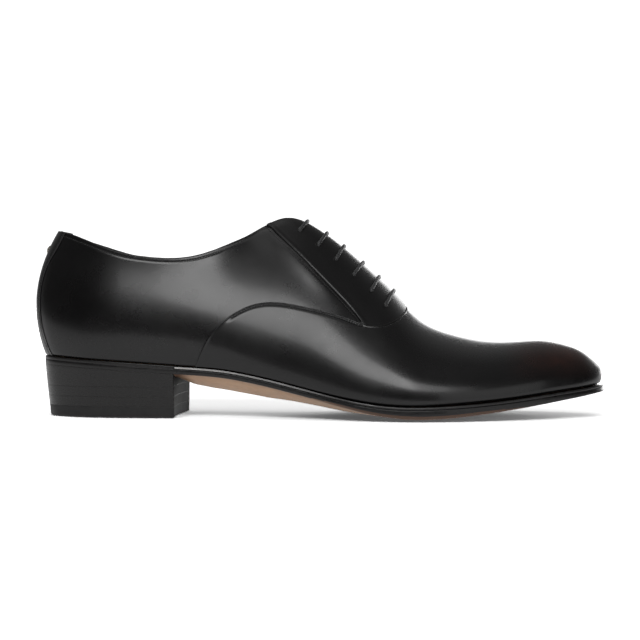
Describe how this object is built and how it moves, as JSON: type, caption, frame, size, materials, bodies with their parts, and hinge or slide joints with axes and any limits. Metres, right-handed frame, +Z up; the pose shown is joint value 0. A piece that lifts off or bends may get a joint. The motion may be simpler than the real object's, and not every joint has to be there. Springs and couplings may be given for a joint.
{
  "type": "leather oxford shoe",
  "caption": "Black leather oxford dress shoe, right foot: plain toe, closed lacing, leather sole with stacked heel; forefoot flexes.",
  "frame": {"origin": "centre of the heel's ground face", "axes": "+X to the toe along the shoe, +Y to the inner (medial) side, +Z up"},
  "size_m": [0.3102, 0.1037, 0.106],
  "materials": {
    "upper_leather": "polished smooth calf",
    "sole_leather": "natural oak-bark sole leather, buffed",
    "edge_black": "inked and waxed stacked-leather edge",
    "rubber": "matt moulded",
    "cork": "granular",
    "steel": "spring steel strip",
    "brass": "plain",
    "insole_leather": "natural vegetable-tanned",
    "sock_leather": "smooth calf",
    "lining_leather": "smooth natural calf lining",
    "stiffener": "pasted leatherboard",
    "eyelet_metal": "japanned",
    "lace": "round waxed cotton braid",
    "aglet_plastic": "gloss",
    "stud_metal": "polished pale",
    "thread": "waxed linen"
  },
  "bodies": {
    "rear": {"outsole_rear": "sole_leather", "welt_rear": "edge_black", "cork_filler_rear": "cork", "steel_shank": "steel", "insole_rear": "insole_leather", "heel_sock": "sock_leather", "heel_rand": "edge_black", "heel_base_lift": "edge_black", "heel_lift_upper": "edge_black", "heel_lift_lower": "edge_black", "heel_top_piece": "rubber", "heel_nails": "brass", "vamp_rear": "upper_leather", "quarter_lateral": "upper_leather", "quarter_medial": "upper_leather", "facing_lateral": "upper_leather", "facing_medial": "upper_leather", "vamp_crease": "upper_leather", "back_strip": "upper_leather", "topline_piping": "upper_leather", "quarter_lining_lateral": "lining_leather", "quarter_lining_medial": "lining_leather", "vamp_lining_rear": "lining_leather", "vamp_lining_crease": "lining_leather", "heel_counter": "stiffener", "blind_eyelets": "eyelet_metal", "lace_underruns": "lace", "aglets": "aglet_plastic", "heel_stud": "stud_metal", "vamp_seam_thread": "thread", "facing_seam_thread": "thread", "topline_thread": "thread", "bar_tacks": "thread"},
    "forepart": {"outsole_forepart": "sole_leather", "welt_forepart": "edge_black", "cork_filler_forepart": "cork", "insole_forepart": "insole_leather", "vamp_forepart": "upper_leather", "vamp_lining_forepart": "lining_leather", "toe_puff": "stiffener"},
    "tongue": {"tongue": "upper_leather"},
    "lace": {"lace_bars": "lace"}
  },
  "joints": [
    {"name": "toe_flex", "type": "hinge", "parent": "rear", "child": "forepart", "pos_m": [0.176, 0, 0.0115], "axis": [0, -1, 0], "range_deg": [0, 25], "stiffness_Nm_per_rad": 2, "deforming": ["vamp_crease", "vamp_lining_crease"]},
    {"name": "tongue_tuck", "type": "hinge", "parent": "rear", "child": "tongue", "pos_m": [0.15, 0, 0.06], "axis": [0, -1, 0], "range_deg": [0, 12]},
    {"name": "lace_slack", "type": "slide", "parent": "rear", "child": "lace", "axis": [0.6, 0, 0.8], "range_m": [0, 0.003], "deforming": ["lace_bars"]}
  ]
}
